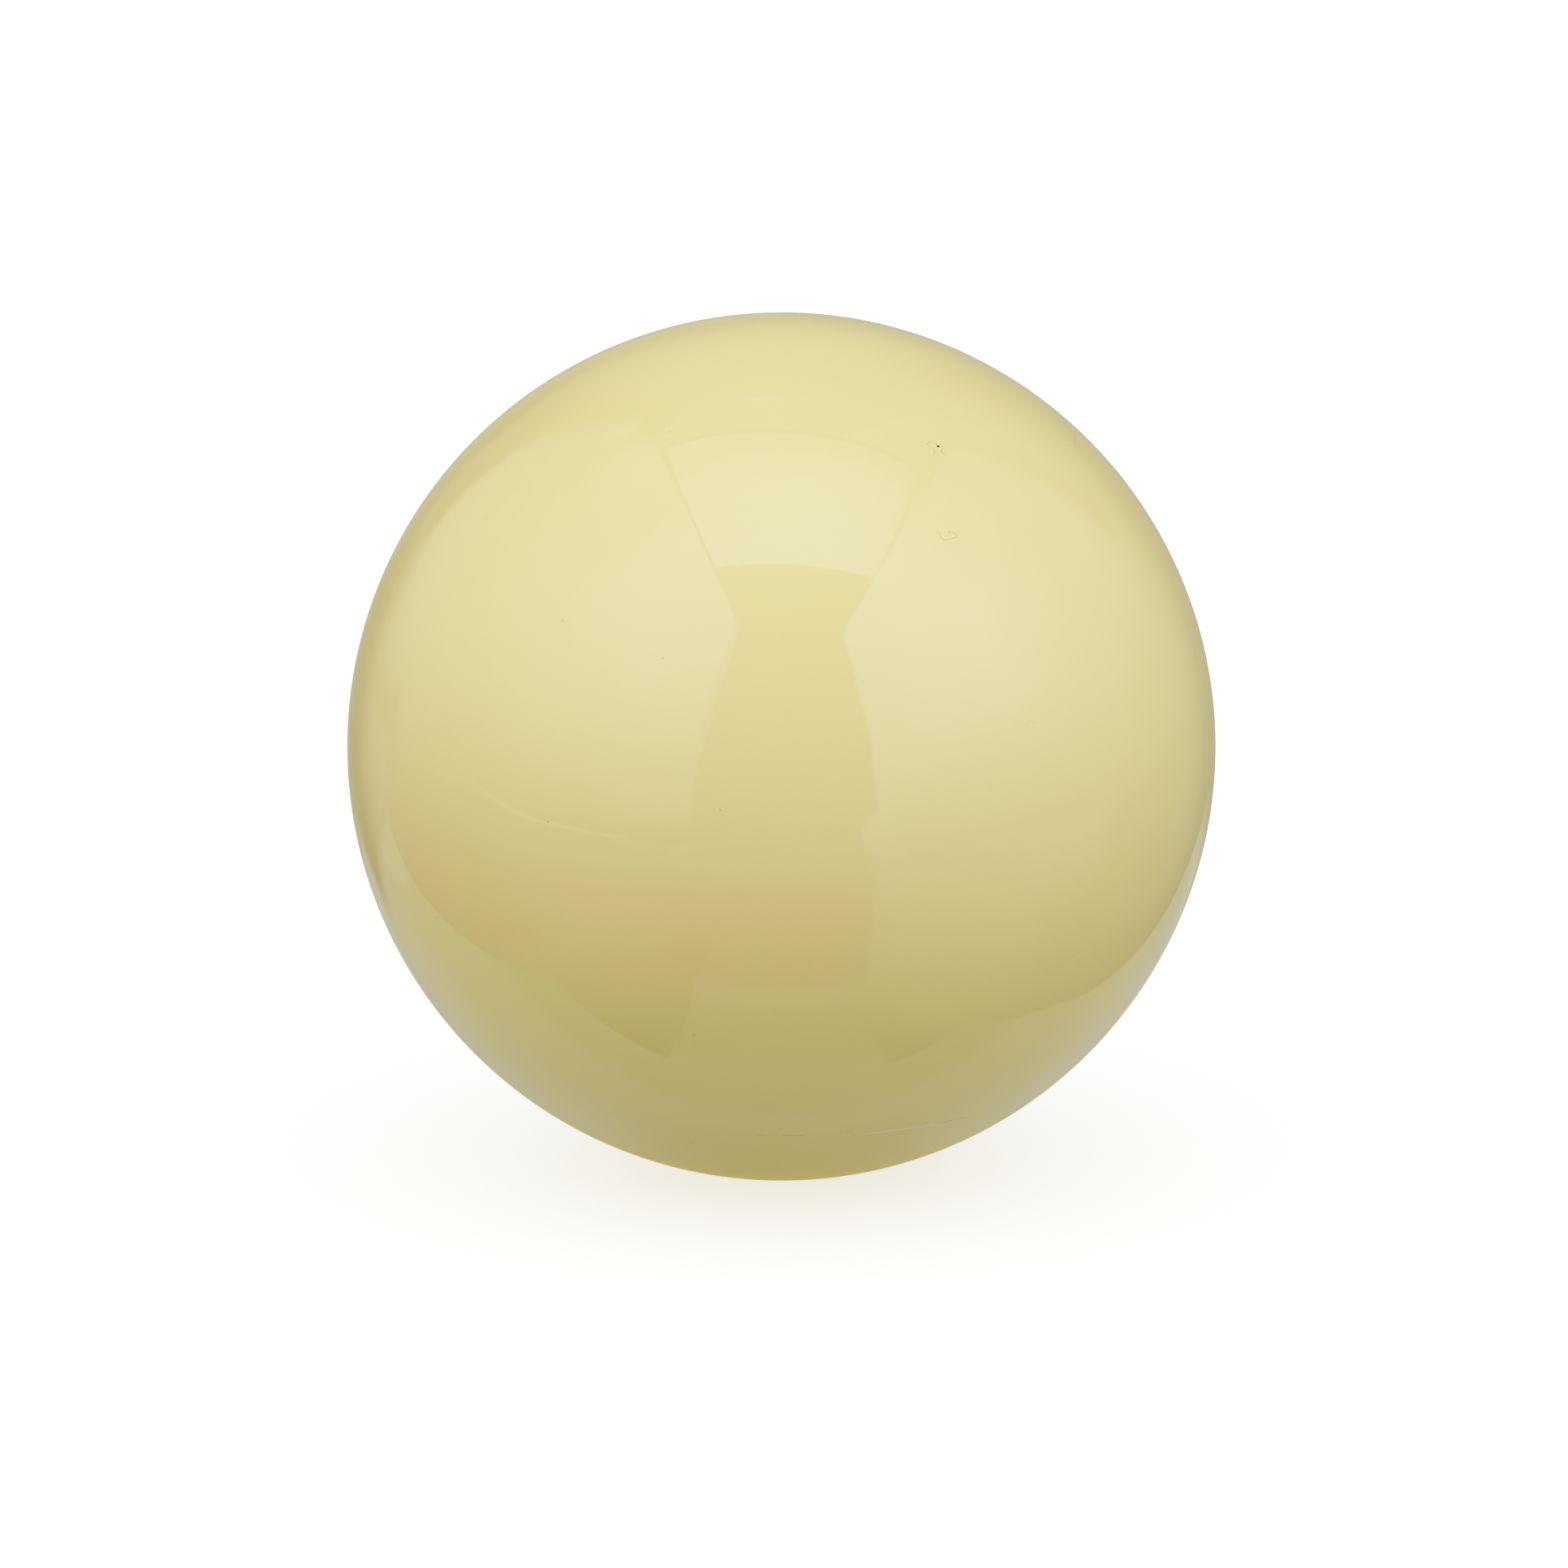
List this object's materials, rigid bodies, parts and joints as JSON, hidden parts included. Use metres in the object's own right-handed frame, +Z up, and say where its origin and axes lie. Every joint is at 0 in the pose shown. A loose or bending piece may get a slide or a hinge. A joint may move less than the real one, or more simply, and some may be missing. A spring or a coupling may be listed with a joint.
{
  "type": "cue ball",
  "caption": "Solid one-piece cream billiard cue ball: a plain, glossy, true sphere that rolls on the cloth and is struck with a cue.",
  "frame": {"origin": "centre of the ball", "axes": "+Z up, away from the cloth that the ball rests on; -Y towards the viewer and +X to the viewer's right. The ball is the same about every axis"},
  "size_m": [0.0572, 0.0572, 0.0572],
  "materials": {
    "phenolic_resin": "polished"
  },
  "bodies": {
    "root": {"ball": "phenolic_resin"}
  },
  "joints": []
}
